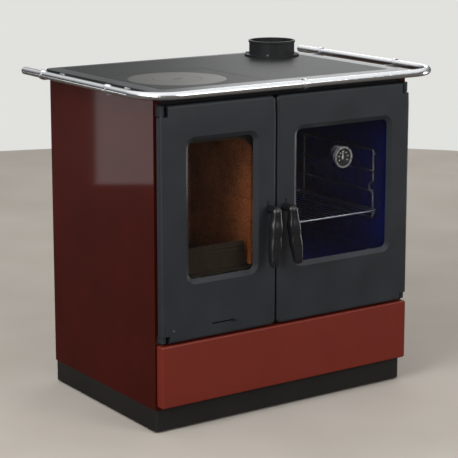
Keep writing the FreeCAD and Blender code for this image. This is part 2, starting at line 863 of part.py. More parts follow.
def make_racks():
    radius = mm.rack_wire_radius
    front = frame_back + mm.rack_front_setback
    back = front + mm.rack_depth
    bottom = mm.rack_bottom
    top = bottom + mm.rack_height
    notch_front = front + mm.rack_notch_depth
    low = bottom + mm.rack_notch_bottom
    high = low + mm.rack_notch_height
    slope = mm.rack_notch_slope
    loop = [(front, bottom), (back, bottom), (back, top), (front, top), (front, high + slope)]
    loop += [(notch_front, high - slope), (notch_front, low + slope), (front, low - slope)]
    for label, wall, side in (("oven_rack_left", oven_left, 1), ("oven_rack_right", oven_right, -1)):
        frame_x = wall + mm.rack_wall_gap * side
        runner_x = frame_x + mm.runner_inset * side
        rack = Piece(label)
        rack.wire("YZ", frame_x, outline(loop, mm.rack_bend), radius, closed=True)
        for level in rack_levels():
            ends = [(frame_x, front), (runner_x, front), (runner_x, back), (frame_x, back)]
            rack.wire("XY", level, outline(ends, mm.rack_bend), radius)
        rows = (bottom + mm.peg_inset, top - mm.peg_inset)
        pegs = [circle(y, z, mm.peg_radius) for y in (front, back) for z in rows]
        near_side, far_side = (wall, frame_x) if side > 0 else (frame_x, wall)
        rack.pad("YZ", near_side, far_side, *pegs)


def make_shelf():
    shelf = Piece("oven_shelf")
    inset = mm.rack_wall_gap + mm.runner_inset
    left, right = oven_left + inset, oven_right - inset
    front = frame_back + mm.shelf_front_setback
    back = front + mm.shelf_depth
    radius = mm.shelf_frame_radius
    level = rack_levels()[0] + mm.rack_wire_radius + mm.seat_gap + radius
    frame = rectangle(left, right, front, back, mm.shelf_bend)
    shelf.wire("XY", level, frame, radius, closed=True)
    centre = middle(left, right)
    bars = []
    for number in range(-shelf_wires_beside, shelf_wires_beside + 1):
        bars.append(circle(centre + mm.shelf_wire_pitch * number, level, mm.shelf_wire_radius))
    shelf.pad("XZ", front, back, *bars)


def make_drawer():
    left = mm.drawer_front_inset - half_width
    face = (left, -left, mm.drawer_front_bottom, mm.drawer_front_top)
    front = Piece("drawer_front")
    front.pad("XZ", door_front, door_back, rectangle(*face, mm.drawer_corner_radius))
    front.fillet(mm.drawer_corner_radius, lambda box: near(box.YMax, door_front.value))
    wall = mm.drawer_front_wall
    front.pocket("XZ", door_front + wall, door_back, grown(*face, -wall))
    wide = mm.drawer_box_half_width
    bottom = base_top + mm.skid_height + mm.seat_gap
    top = bottom + mm.drawer_box_height
    box = Piece("drawer_box")
    place = (-wide, wide, door_back, door_back + mm.drawer_box_depth)
    box.pad("XY", bottom, top, rectangle(*place))
    floor_top = bottom + mm.drawer_sheet
    box.pocket("XY", floor_top, top, grown(*place, -mm.drawer_sheet))

    # Floor and four walls are single sheets, spot welded, with a hairline seam between them
    seam = mm.weld_seam
    over = mm.cut_overrun
    box_back = door_back + mm.drawer_box_depth
    floor_seam = rectangle(-wide - over, wide + over, floor_top, floor_top + seam)
    box.pocket("XZ", door_back - over, box_back + over, floor_seam)
    inner = wide - mm.drawer_sheet
    wall_seams = [
        rectangle(-inner, -inner + seam, door_back - over, box_back + over),
        rectangle(inner - seam, inner, door_back - over, box_back + over),
    ]
    box.pocket("XY", floor_top, top + over, *wall_seams)
    skids = Piece("drawer_rails")
    skid_top = base_top + mm.skid_height
    starts = (-wide, wide - mm.skid_width)
    bars = [rectangle(x, x + mm.skid_width, base_top, skid_top) for x in starts]
    skids.pad("XZ", frame_back, frame_back + mm.skid_length, *bars)


def make_door(name, door):
    sides = (door.low, door.high, mm.door_bottom, mm.door_top)
    frame = Piece(f"{name}_door_frame")
    frame.pad("XZ", door_front, door_back, rectangle(*sides, mm.door_corner_radius))
    over = door_front - mm.cut_overrun
    band = [(door_front, mm.crease_height), (door_front + mm.band_lean, mm.door_top)]
    band += [(over, mm.door_top), (over, mm.crease_height)]
    frame.slice("YZ", outline(band))
    crease = mm.crease_height.value
    band_back = (door_front + mm.band_lean).value

    def on_face_edge(box):
        is_crease = near(box.ZMin, crease) and near(box.ZMax, crease)
        return box.YMax < band_back + mm.match_gap.value and not is_crease

    frame.fillet(mm.door_edge_radius, on_face_edge)
    notch_x = door.outer - mm.notch_width * door.side
    left, right = (door.outer, notch_x) if door.side < 0 else (notch_x, door.outer)
    upper = rectangle(left, right, mm.door_top - mm.notch_top_height, mm.door_top)
    lower = rectangle(left, right, mm.door_bottom, mm.door_bottom + mm.notch_bottom_height)
    frame.pocket("XZ", door_front, door_back, upper, lower)
    outer = door.outer.value
    back = door_back.value

    def on_back_edge(box):
        upright = near(box.XMin, outer) and near(box.XMax, outer)
        return upright and near(box.YMin, back)

    frame.fillet(mm.door_edge_radius, on_back_edge)
    rim, end_rim = mm.door_side_rim, mm.door_end_rim
    hollow = (door.low + rim, door.high - rim, mm.door_bottom + end_rim, mm.door_top - end_rim)
    frame.pocket("XZ", face_back, door_back, rectangle(*hollow, mm.door_hollow_radius))
    bevel_radius = mm.window_radius - mm.bevel_width
    bevel = [(door_front, rectangle(*door.window, mm.window_radius))]
    bevel.append((door_front + mm.bevel_depth, rectangle(*door.clear, bevel_radius)))
    frame.loft("SubtractiveLoft", "XZ", bevel, True)
    frame.pocket("XZ", door_front + mm.bevel_depth, face_back, rectangle(*door.clear, bevel_radius))
    inset, end_inset = mm.rope_side_inset, mm.rope_end_inset
    track = (door.low + inset, door.high - inset, mm.door_bottom + end_inset, mm.door_top - end_inset)
    spread = mm.rope_radius + mm.seat_gap
    groove = [grown(*track, spread, mm.rope_bend + spread), grown(*track, -spread, mm.rope_bend - spread)]
    frame.pocket("XZ", rope_height - spread, door_back, *groove)
    spindle_hole = circle(door.spindle, mm.spindle_height, mm.spindle_radius + mm.pin_gap)
    frame.pocket("XZ", door_front, door_back, spindle_hole)
    mark_x = gap_centre + mm.mark_from_gap * door.side
    mark = rectangle(
        mark_x - mm.mark_width / 2,
        mark_x + mm.mark_width / 2,
        mm.mark_centre_height - mm.mark_height / 2,
        mm.mark_centre_height + mm.mark_height / 2,
    )
    frame.pocket("XZ", door_front, door_front + mm.mark_depth, mark)
    notch_top = mm.door_top - mm.notch_top_height
    notch_bottom = mm.door_bottom + mm.notch_bottom_height
    pin_hole = circle(door.hinge, hinge_axis, mm.pin_radius + mm.pin_gap)
    frame.pocket("XY", notch_top - mm.pin_sink, notch_top, pin_hole)
    frame.pocket("XY", notch_bottom, notch_bottom + mm.pin_sink, pin_hole)
    rope = Piece(f"{name}_door_seal")
    rope.wire("XZ", rope_height, rectangle(*track, mm.rope_bend), mm.rope_radius, closed=True)
    pins = Piece(f"{name}_door_pins")
    pin = circle(door.hinge, hinge_axis, mm.pin_radius)
    pins.pad("XY", notch_top - mm.pin_sink + mm.pin_gap, mm.door_top - mm.block_skin, pin)
    pin_foot = mm.door_bottom + mm.block_bottom_lift + mm.block_skin
    pins.pad("XY", pin_foot, notch_bottom + mm.pin_sink - mm.pin_gap, pin)
    make_glazing(name, door)
    make_hinge_blocks(name, door)
    return frame


def make_glazing(name, door):
    glass_front = face_back + mm.gasket_thickness
    glass_back = glass_front + mm.glass_thickness
    clear_radius = mm.window_radius - mm.bevel_width
    pane = grown(*door.clear, mm.glass_margin, clear_radius + mm.glass_margin)
    gasket = Piece(f"{name}_glass_seal")
    gap = grown(*door.clear, mm.gasket_thickness, clear_radius + mm.gasket_thickness)
    gasket.pad("XZ", face_back, glass_front, pane, gap)
    glass = Piece(f"{name}_door_glass")
    glass.pad("XZ", glass_front, glass_back, pane)
    if name == "oven":
        hole = circle(dial_x, dial_z, mm.stem_radius + mm.seat_gap)
        glass.pocket("XZ", glass_front, glass_back, hole)
    clips = Piece(f"{name}_glass_clips")
    low, high, bottom, top = door.clear
    feet = []
    straps = []
    clip_inset = (high - low) * clip_place_share
    for x in (low + clip_inset, high - clip_inset):
        left, right = x - mm.clip_width / 2, x + mm.clip_width / 2
        for edge, way in ((bottom - mm.glass_margin, -1), (top + mm.glass_margin, 1)):
            near_end = edge + mm.seat_gap * way
            far_end = edge + mm.clip_foot * way
            inner_end = edge - mm.clip_reach * way
            span = (far_end, near_end) if way < 0 else (near_end, far_end)
            cover = (far_end, inner_end) if way < 0 else (inner_end, far_end)
            feet.append(rectangle(left, right, *span))
            straps.append(rectangle(left, right, *cover))
    clips.pad("XZ", face_back, glass_back, *feet)
    clips.pad("XZ", glass_back, glass_back + mm.clip_sheet, *straps)


def make_hinge_blocks(name, door):
    blocks = Piece(f"{name}_hinge_blocks")
    half = mm.block_half_width
    nose = half - mm.pin_gap
    left, right = door.hinge - half, door.hinge + half
    front = hinge_axis - half
    shape = [(left, front, nose), (right, front, nose)]
    shape += [(right, panel_front, None), (left, panel_front, None)]
    top = mm.door_top
    bottom = mm.door_bottom + mm.block_bottom_lift
    bore = circle(door.hinge, hinge_axis, mm.pin_radius + mm.pin_gap)
    blocks.pad("XY", top - mm.block_top_height, top, shape)
    blocks.pad("XY", bottom, bottom + mm.block_bottom_height, shape)
    blocks.pocket("XY", top - mm.block_top_height, top - mm.block_skin + mm.pin_gap, bore)
    blocks.pocket("XY", bottom + mm.block_skin - mm.pin_gap, bottom + mm.block_bottom_height, bore)


def make_handle(name, door):
    """A lofted grip that hangs from its neck, and the spindle with the latch tongue behind the door."""
    side = door.side
    grip = Piece(f"{name}_handle_grip")
    sections = []
    for share, width_share, depth_share, sweep_share, forward_share in grip_section_shares[::-1]:
        x = door.spindle + mm.grip_side_sweep * sweep_share * side
        y = door_front - mm.neck_length - mm.grip_front_sweep * forward_share
        half_x = mm.grip_width * width_share / 2
        half_y = mm.grip_depth * depth_share / 2
        loop = rectangle(x - half_x, x + half_x, y - half_y, y + half_y, half_y * grip_round_share)
        sections.append((mm.grip_top - mm.grip_length * share, loop))
    grip.loft("AdditiveLoft", "XY", sections, False)
    neck_back = door_front - mm.seat_gap
    neck = circle(door.spindle, mm.spindle_height, mm.neck_radius)
    grip.pad("XZ", door_front - mm.neck_length, neck_back, neck)
    spindle_front = neck_back - mm.spindle_sink
    bore = circle(door.spindle, mm.spindle_height, mm.spindle_radius + mm.pin_gap)
    grip.pocket("XZ", spindle_front - mm.pin_gap, neck_back, bore)
    latch = Piece(f"{name}_handle_latch")
    tongue_back = frame_back - mm.tongue_setback
    tongue_front = tongue_back - mm.tongue_thickness
    spindle = circle(door.spindle, mm.spindle_height, mm.spindle_radius)
    latch.pad("XZ", spindle_front, tongue_back, spindle)
    half = mm.tongue_half_width
    tip = mm.spindle_height + mm.tongue_length
    nose = half - mm.pin_gap
    foot = mm.spindle_height - half
    shape = rectangle(door.spindle - half, door.spindle + half, foot, tip, nose)
    latch.pad("XZ", tongue_front, tongue_back, shape)


def make_air_slider(frame):
    slot_left = fire.low + mm.air_slot_from_hinge
    slot_right = slot_left + mm.air_slot_width
    slot = (slot_left, slot_right, *around(mm.air_slot_centre_height, mm.air_slot_height))
    frame.pocket("XZ", door_front, face_back, rectangle(*slot))
    floor = mm.door_bottom + mm.door_end_rim
    plate_bottom = floor + mm.seat_gap
    plate_top = plate_bottom + mm.air_plate_height
    plate_front = face_back + mm.seat_gap
    plate_back = plate_front + mm.air_plate_thickness
    plate_right = slot_right + mm.air_plate_past_tab
    plate_left = plate_right - mm.air_plate_width
    guide_left, guide_right = slot_left, slot_right
    lip_front = plate_back + mm.seat_gap
    lip_back = lip_front + mm.guide_lip_thickness
    guide_bottom = plate_top + mm.seat_gap
    rail = rectangle(guide_left, guide_right, guide_bottom, guide_bottom + mm.guide_height)
    lip = rectangle(guide_left, guide_right, guide_bottom - mm.guide_lip, guide_bottom + mm.guide_height)
    frame.pad("XZ", face_back, lip_front, rail)
    frame.pad("XZ", lip_front, lip_back, lip)
    slider = Piece("air_slider")
    slider.pad("XZ", plate_front, plate_back, rectangle(plate_left, plate_right, plate_bottom, plate_top))
    tab_right = slot_right - mm.seat_gap
    tab_height = mm.air_slot_height - mm.seat_gap * 2
    tab = (tab_right - mm.air_tab_width, tab_right, *around(mm.air_slot_centre_height, tab_height))
    slider.pad("XZ", door_front - mm.air_tab_proud, plate_front, rectangle(*tab))
    screw_x = fire.low + mm.screw_from_hinge
    shank_back = door_front + mm.screw_shank_length
    hole = circle(screw_x, mm.screw_height, mm.screw_shank_radius + mm.pin_gap)
    frame.pocket("XZ", door_front, shank_back, hole)
    screw = Piece("fire_door_screw")
    head = circle(screw_x, mm.screw_height, mm.screw_head_radius)
    shank = circle(screw_x, mm.screw_height, mm.screw_shank_radius)
    screw.pad("XZ", door_front - mm.screw_head_proud, door_front, head)
    screw.pad("XZ", door_front, shank_back, shank)


def around(centre, width):
    return (centre - width / 2, centre + width / 2)


def make_thermometer():
    x, z = dial_x, dial_z
    glass_front = face_back + mm.gasket_thickness
    back = glass_front - mm.seat_gap
    front = door_front + mm.case_setback
    wall = mm.case_wall
    outer = mm.case_radius
    opening = outer - wall - mm.bezel_lip
    hole = mm.stem_radius + mm.pin_gap
    profile = [(front, outer), (back, outer), (back, hole), (back - wall, hole)]
    profile += [(back - wall, outer - wall), (front + wall, outer - wall)]
    profile += [(front + wall, opening), (front, opening)]
    case = Piece("thermometer_case")
    case.turn("YZ", x, (zero, z), outline(profile), "H_Axis")
    inside = outer - wall - mm.pin_gap
    dial_back = back - wall - mm.dial_lift
    dial_front = dial_back - mm.dial_thickness
    dial = Piece("thermometer_dial")
    dial.pad("XZ", dial_front, dial_back, circle(x, z, inside))
    dial.pad("XZ", dial_back, back - wall, circle(x, z, inside / 2), circle(x, z, hole))
    pivot_front = dial_front - mm.pivot_length
    dial.pad("XZ", pivot_front, dial_front, circle(x, z, mm.pivot_radius))
    lens = Piece("thermometer_lens")
    lens_front = front + wall + mm.pin_gap
    lens.pad("XZ", lens_front, lens_front + mm.lens_thickness, circle(x, z, inside))
    needle = Piece("thermometer_needle")
    needle_back = dial_front - mm.seat_gap
    needle_front = needle_back - mm.needle_thickness
    half = mm.needle_half_width
    tail = z - mm.needle_tail
    blade = outline([(x - half, tail), (x + half, tail), (x, z + mm.needle_length)])
    needle.pad("XZ", needle_front, needle_back, blade)
    needle.pad("XZ", needle_front, needle_back, circle(x, z, mm.hub_radius))
    needle.pocket("XZ", needle_front, needle_back, circle(x, z, mm.pivot_radius + mm.pin_gap))
    stem = Piece("thermometer_stem")
    glass_back = glass_front + mm.glass_thickness
    stem_back = frame_back + mm.stem_inside_oven
    stem.pad("XZ", back - wall, stem_back, circle(x, z, mm.stem_radius))
    stem.pad("XZ", glass_back, glass_back + mm.nut_height, circle(x, z, mm.nut_radius))


def make_hob():
    """Cast frame with a stepped opening, a bright edge band and two lapped plates."""
    front = panel_front - mm.hob_front_reach
    back = panel_front + mm.hob_rear_reach
    trim = mm.trim_thickness
    edge = (-half_width, half_width, front, back)
    opening = (
        mm.hob_opening_left - half_width,
        half_width - mm.hob_opening_right,
        front + mm.hob_opening_front,
        back - mm.hob_opening_rear,
    )
    radius = mm.hob_corner_radius
    seat = mm.hob_top - mm.plate_thickness
    frame = Piece("hob_frame")
    frame.pad("XY", cabinet_top, mm.hob_top, grown(*edge, -trim, radius - trim))
    frame.pocket("XY", seat, mm.hob_top, rectangle(*opening, mm.hob_opening_radius))
    frame.pocket("XY", cabinet_top, seat, grown(*opening, -mm.hob_ledge, mm.hob_opening_radius))
    top = mm.hob_top.value
    left = edge[0].value

    def on_outer_top(box):
        level = near(box.ZMin, top) and near(box.ZMax, top)
        side_x = near(abs(box.XMin), -left - trim.value) or near(abs(box.XMax), -left - trim.value)
        side_y = near(box.YMin, (front + trim).value) or near(box.YMax, (back - trim).value)
        return level and (side_x or side_y)

    frame.fillet(mm.hob_edge_radius, on_outer_top)
    band = Piece("hob_trim")
    band_top = cabinet_top + mm.trim_height
    inner_edge = grown(*edge, -trim, radius - trim)
    band.pad("XY", cabinet_top, band_top, rectangle(*edge, radius), inner_edge)
    gap = mm.plate_gap
    x0, x1, y0, y1 = opening
    split_x = x0 + mm.fire_plate_width
    split_y = y0 + mm.fire_plate_depth
    step = seat + mm.plate_step
    inner = mm.hob_opening_radius - gap
    ring_x = x0 + mm.ring_from_left
    ring_y = y0 + mm.ring_from_front
    flue_x = x1 - mm.flue_from_right
    flue_y = y1 - mm.flue_from_rear

    def fire_loop(lap, radius):
        left, front = x0 + gap, y0 + gap
        right, rear = split_x - gap - lap, split_y - gap - lap
        return [(left, front, radius), (right, front, None), (right, rear, None), (left, rear, None)]

    main_loop = [(split_x, y0 + gap, None), (x1 - gap, y0 + gap, inner), (x1 - gap, y1 - gap, inner)]
    main_loop += [(x0 + gap, y1 - gap, inner), (x0 + gap, split_y, None), (split_x, split_y, None)]
    low_x, low_y = split_x - mm.hob_ledge, split_y - mm.hob_ledge
    far_x, far_y = split_x + mm.hob_ledge, split_y + mm.hob_ledge
    tongue = [(low_x, y0 + gap), (far_x, y0 + gap), (far_x, far_y)]
    tongue += [(x0 + gap, far_y), (x0 + gap, low_y), (low_x, low_y)]

    fire_plate = Piece("hob_plate_fire")
    lap = mm.hob_ledge
    ring_hole = circle(ring_x, ring_y, mm.ring_radius + gap)
    ring_seat = circle(ring_x, ring_y, mm.ring_radius + gap - mm.ring_step)
    fire_plate.pad("XY", step, mm.hob_top, fire_loop(zero, inner), ring_hole)
    fire_plate.pad("XY", seat, step, fire_loop(lap, inner), ring_seat)
    main_plate = Piece("hob_plate_main")
    flue_hole = circle(flue_x, flue_y, mm.flue_bore_radius + mm.flue_wall)
    main_plate.pad("XY", seat, mm.hob_top, main_loop, flue_hole)
    main_plate.pad("XY", seat, step, outline(tongue))
    make_rings(ring_x, ring_y, seat, step)
    make_flue_collar(flue_x, flue_y)


def make_rings(x, y, seat, step):
    """Lift-out ring and cap, each on the step of what surrounds it."""
    gap = mm.plate_gap
    hole = mm.cap_radius + gap
    shoulder = step + mm.seat_gap
    ring_side, ring_foot = mm.ring_radius, mm.ring_radius - mm.ring_step
    profile = [(hole, mm.hob_top), (ring_side, mm.hob_top)]
    profile += [(ring_side, shoulder), (ring_foot, shoulder), (ring_foot, seat)]
    profile += [(hole - mm.ring_step, seat), (hole - mm.ring_step, step), (hole, step)]
    Piece("hob_ring").turn("XZ", y, (x, zero), outline(profile))
    cap = Piece("hob_cap")
    side, foot = mm.cap_radius, mm.cap_radius - mm.ring_step
    profile = [(zero, mm.hob_top), (side, mm.hob_top), (side, shoulder)]
    profile += [(foot, shoulder), (foot, seat), (zero, seat)]
    cap.turn("XZ", y, (x, zero), outline(profile))
    slot = (x - mm.cap_slot_length / 2, x + mm.cap_slot_length / 2, *around(y, mm.cap_slot_width))
    cap.pocket("XY", step, mm.hob_top, rectangle(*slot))


def make_flue_collar(x, y):
    bore, wall = mm.flue_bore_radius, mm.flue_wall
    base = mm.hob_top
    flange_top = base + mm.flue_flange_thickness
    top = base + mm.flue_height
    outer = bore + wall
    bead = outer + mm.flue_bead
    bead_bottom = top - mm.flue_bead_height
    flange = mm.flue_flange_radius
    profile = [(bore, base), (flange, base), (flange, flange_top), (outer, flange_top)]
    profile += [(outer, bead_bottom), (bead, bead_bottom), (bead, top), (bore, top)]
    collar = Piece("flue_collar")
    collar.turn("XZ", y, (x, zero), outline(profile))
    reach = mm.flue_bolt_circle * math.cos(math.radians(flue_bolt_degrees))
    places = [(x + reach * a, y + reach * b) for a in (-1, 1) for b in (-1, 1)]
    holes = [circle(a, b, mm.flue_bolt_radius + mm.pin_gap) for a, b in places]
    collar.pocket("XY", base, flange_top, *holes)
    bolts = Piece("flue_collar_bolts")
    head_top = flange_top + mm.flue_bolt_head_height
    bolts.pad("XY", base, flange_top, *[circle(a, b, mm.flue_bolt_radius) for a, b in places])
    bolts.pad("XY", flange_top, head_top, *[circle(a, b, mm.flue_bolt_head_radius) for a, b in places])


def make_rail():
    """Bent bar round the front and sides, on stems from the hob edge."""
    side = mm.rail_half_width
    front = panel_front - mm.rail_reach + mm.rail_radius
    back = panel_front + mm.hob_rear_reach - mm.rail_rear_gap
    level = mm.hob_top - mm.rail_drop
    rail = Piece("rail")
    bend = mm.rail_corner_radius
    path = outline([(-side, back), (-side, front), (side, front), (side, back)], bend)
    rail.wire("XY", level, path, mm.rail_radius)
    back_face = back.value
    rail.fillet(mm.rail_end_radius, lambda box: near(box.YMin, back_face) and near(box.YMax, back_face))
    brackets = Piece("rail_brackets")
    hob_front = panel_front - mm.hob_front_reach
    stem_top = level - mm.stem_top_drop
    stem_bottom = stem_top - mm.stem_height
    half_stem, half_rose, half_sleeve = mm.stem_width / 2, mm.rose_width / 2, mm.sleeve_length / 2
    rose_bottom, rose_top = cabinet_top + mm.rose_lift, cabinet_top + mm.trim_height
    rose = mm.rose_thickness
    brackets.pad("XZ", hob_front - rose, hob_front, rectangle(-half_rose, half_rose, rose_bottom, rose_top))
    brackets.pad("XZ", front, hob_front - rose, rectangle(-half_stem, half_stem, stem_bottom, stem_top))
    brackets.pad("YZ", -half_sleeve, half_sleeve, circle(front, level, mm.sleeve_radius))
    brackets.pocket("YZ", -half_sleeve, half_sleeve, circle(front, level, mm.rail_radius + mm.pin_gap))
    rows = (panel_front + mm.bracket_front, panel_front + mm.bracket_rear)
    sleeves = [circle(edge, level, mm.sleeve_radius) for edge in (-side, side)]
    bores = [circle(edge, level, mm.rail_radius + mm.pin_gap) for edge in (-side, side)]
    roses = [rectangle(y - half_rose, y + half_rose, rose_bottom, rose_top) for y in rows]
    stems = [rectangle(y - half_stem, y + half_stem, stem_bottom, stem_top) for y in rows]
    brackets.pad("YZ", half_width, half_width + rose, *roses)
    brackets.pad("YZ", half_width + rose, side, *stems)
    brackets.pad("YZ", -half_width - rose, -half_width, *roses)
    brackets.pad("YZ", -side, -half_width - rose, *stems)
    for y in rows:
        brackets.pad("XZ", y - half_sleeve, y + half_sleeve, *sleeves)
        brackets.pocket("XZ", y - half_sleeve, y + half_sleeve, *bores)


make_plinth()
make_feet()
make_panels()
make_front_frame()
make_firebox()
make_grate()
make_guard()
make_ash_pan()
make_oven()
make_racks()
make_shelf()
make_drawer()
fire_frame = make_door("fire", fire)
make_door("oven", oven)
make_air_slider(fire_frame)
make_handle("fire", fire)
make_handle("oven", oven)
make_thermometer()
make_hob()
make_rail()
doc.recompute()

for item in doc.Objects:
    if "Invalid" in item.State or "Error" in item.State:
        raise RuntimeError(f"{item.Name} failed: {item.State}")
    if item.isDerivedFrom("PartDesign::Pocket") and item.Shape.Volume >= item.BaseFeature.Shape.Volume:
        raise RuntimeError(f"{item.Name} of {item.getParentGeoFeatureGroup().Label} cuts nothing")
for label, thing in parts.items():
    if thing.Shape.isNull() or not thing.Shape.isValid():
        raise RuntimeError(f"{label} has no valid shape")

os.makedirs("parts", exist_ok=True)
for label, thing in parts.items():
    thing.Shape.exportStep(f"parts/{label}.step")
    print(label, len(thing.Shape.Solids), round(thing.Shape.Volume))
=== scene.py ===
# Wood-burning cooking stove: finishes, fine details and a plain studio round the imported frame
import json
import math

import bmesh
import bpy
from mathutils import Matrix, Vector

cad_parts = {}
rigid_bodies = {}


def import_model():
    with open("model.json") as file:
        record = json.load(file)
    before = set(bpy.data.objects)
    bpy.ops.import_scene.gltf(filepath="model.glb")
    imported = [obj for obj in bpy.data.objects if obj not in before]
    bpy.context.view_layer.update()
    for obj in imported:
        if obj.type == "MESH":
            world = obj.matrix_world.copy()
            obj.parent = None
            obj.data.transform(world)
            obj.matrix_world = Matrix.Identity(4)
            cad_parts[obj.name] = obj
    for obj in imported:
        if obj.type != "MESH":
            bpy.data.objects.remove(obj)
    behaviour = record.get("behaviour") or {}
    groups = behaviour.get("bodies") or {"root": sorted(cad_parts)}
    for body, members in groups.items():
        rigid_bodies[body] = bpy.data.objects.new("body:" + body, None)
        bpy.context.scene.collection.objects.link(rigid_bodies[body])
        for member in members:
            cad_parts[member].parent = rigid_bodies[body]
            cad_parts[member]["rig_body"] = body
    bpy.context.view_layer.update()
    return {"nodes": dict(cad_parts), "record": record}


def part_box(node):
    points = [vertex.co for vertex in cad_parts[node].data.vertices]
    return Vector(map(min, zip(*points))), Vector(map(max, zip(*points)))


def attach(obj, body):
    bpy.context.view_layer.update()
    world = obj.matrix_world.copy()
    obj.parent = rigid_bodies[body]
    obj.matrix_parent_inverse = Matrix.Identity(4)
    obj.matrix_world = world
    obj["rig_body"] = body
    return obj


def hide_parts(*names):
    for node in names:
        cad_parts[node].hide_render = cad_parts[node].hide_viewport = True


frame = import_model()
print("frame loaded:", len(frame["nodes"]), "nodes")

millimetre = 0.001
noiseReach = (0.3, 0.7)  # noise keeps near its middle, so two colours blend between these levels


# Small tools

def toLinear(hexText):
    channels = [int(hexText[start:start + 2], 16) / 255 for start in (0, 2, 4)]
    linear = [c / 12.92 if c <= 0.04045 else ((c + 0.055) / 1.055) ** 2.4 for c in channels]
    return (*linear, 1.0)


def perMetre(sizeMm):
    return 1000 / sizeMm  # texture scale that draws one feature in this many millimetres


def wavesPerMetre(pitchMm):
    return perMetre(pitchMm) * math.tau / 20  # a wave texture turns 20 radians in each unit


def mottle(first, second):
    return list(zip(noiseReach, (first, second)))  # ramp stops from one colour to the other


def addNode(tree, kind, settings=None, sockets=None, stops=None, feeds=None):
    # A socket gets a value, or a link if it is given another node's output. Stops are the places
    # and colours of a ramp, and feeds name the sockets that this node's outputs go to.
    made = tree.nodes.new(kind)
    for name, value in (settings or {}).items():
        setattr(made, name, value)
    for name, value in (sockets or {}).items():
        if isinstance(value, bpy.types.NodeSocket):
            tree.links.new(value, made.inputs[name])
        else:
            made.inputs[name].default_value = value
    if stops:
        elements = made.color_ramp.elements
        while len(elements) < len(stops):
            elements.new(1.0)
        for element, (position, colour) in zip(elements, stops):
            element.position = position
            element.color = toLinear(colour)
    for name, target in (feeds or {}).items():
        tree.links.new(made.outputs[name], target)
    return made


def startMaterial(name, surface):
    material = bpy.data.materials.new(name)
    material.use_nodes = True
    tree = material.node_tree
    shader = tree.nodes["Principled BSDF"]
    for socketName, value in surface.items():
        shader.inputs[socketName].default_value = value
    place = addNode(tree, "ShaderNodeTexCoord").outputs["Object"]
    return material, tree, shader, place


# Vitreous enamel on folded sheet steel: coloured glass fused on in the kiln.
# It gives the eye a deep colour under a clear wet-looking skin that waves slightly.
def enamelFinish(name, look):
    material, tree, shader, place = startMaterial(name, {
        "Roughness": look["roughness"], "IOR": 1.5, "Coat Weight": look["coat"],
        "Coat Roughness": look["coatRoughness"], "Specular IOR Level": look["specular"]})
    cloud = addNode(tree, "ShaderNodeTexNoise", sockets={
        "Vector": place, "Scale": perMetre(look["cloudMm"]), "Detail": 3.0})
    addNode(tree, "ShaderNodeValToRGB", sockets={"Fac": cloud.outputs["Fac"]},
            stops=mottle(look["shade"], look["tint"]), feeds={"Color": shader.inputs["Base Color"]})
    wave = addNode(tree, "ShaderNodeTexNoise", sockets={
        "Vector": place, "Scale": perMetre(look["waveMm"]), "Detail": 1.0, "Roughness": 0.4})
    addNode(tree, "ShaderNodeBump", sockets={
        "Height": wave.outputs["Fac"], "Distance": look["waveDepthMm"] * millimetre},
        feeds={"Normal": shader.inputs["Normal"]})
    return material


enamels = {
    "maroon": {"tint": "420D07", "shade": "390A05", "cloudMm": 160,
               "waveMm": 26, "waveDepthMm": 0.05,
               "roughness": 0.4, "coat": 0.35, "coatRoughness": 0.05, "specular": 0.08},
    "red": {"tint": "70261A", "shade": "6B2419", "cloudMm": 120,
            "waveMm": 22, "waveDepthMm": 0.04,
            "roughness": 0.45, "coat": 0.15, "coatRoughness": 0.2, "specular": 0.2},
    "blue": {"tint": "0B1860", "shade": "08124A", "cloudMm": 60,
             "waveMm": 16, "waveDepthMm": 0.06,
             "roughness": 0.25, "coat": 0.6, "coatRoughness": 0.06, "specular": 0.4},
}


# Heat-proof paint on sand-cast iron: the mould's grain shows faintly through a satin film.
# Powder coat and primer on sheet have the same film over a shallower, even grain.
def castPaintFinish(name, look):
    sheenDrift = 0.05  # how far the roughness strays either way
    material, tree, shader, place = startMaterial(name, {
        "Specular IOR Level": look["specular"], "IOR": 1.5})
    patch = addNode(tree, "ShaderNodeTexNoise", sockets={
        "Vector": place, "Scale": perMetre(look["patchMm"]), "Detail": 4.0})
    addNode(tree, "ShaderNodeValToRGB", sockets={"Fac": patch.outputs["Fac"]},
            stops=mottle(look["shade"], look["tint"]), feeds={"Color": shader.inputs["Base Color"]})
    addNode(tree, "ShaderNodeMapRange", sockets={
        "Value": patch.outputs["Fac"],
        "To Min": look["roughness"] - sheenDrift, "To Max": look["roughness"] + sheenDrift},
        feeds={"Result": shader.inputs["Roughness"]})
    grain = addNode(tree, "ShaderNodeTexNoise", sockets={
        "Vector": place, "Scale": perMetre(look["grainMm"]), "Detail": 3.0, "Roughness": 0.6})
    addNode(tree, "ShaderNodeBump", sockets={
        "Height": grain.outputs["Fac"], "Distance": look["grainDepthMm"] * millimetre},
        feeds={"Normal": shader.inputs["Normal"]})
    return material


castPaints = {
    "anthracite": {"tint": "2B2E33", "shade": "26292D", "patchMm": 90,
                   "grainMm": 1.6, "grainDepthMm": 0.06, "roughness": 0.42, "specular": 0.3},
    "frameBlack": {"tint": "1B1C1E", "shade": "151617", "patchMm": 60,
                   "grainMm": 1.2, "grainDepthMm": 0.05, "roughness": 0.55, "specular": 0.35},
    # powder coat: baked-on plastic powder on sheet, an even fine orange peel
    "powderBlack": {"tint": "22201E", "shade": "1E1C1B", "patchMm": 150,
                    "grainMm": 2.2, "grainDepthMm": 0.05, "roughness": 0.45, "specular": 0.4},
    "primerGrey": {"tint": "4E5054", "shade": "434549", "patchMm": 110,
                   "grainMm": 1.4, "grainDepthMm": 0.03, "roughness": 0.6, "specular": 0.3},
}


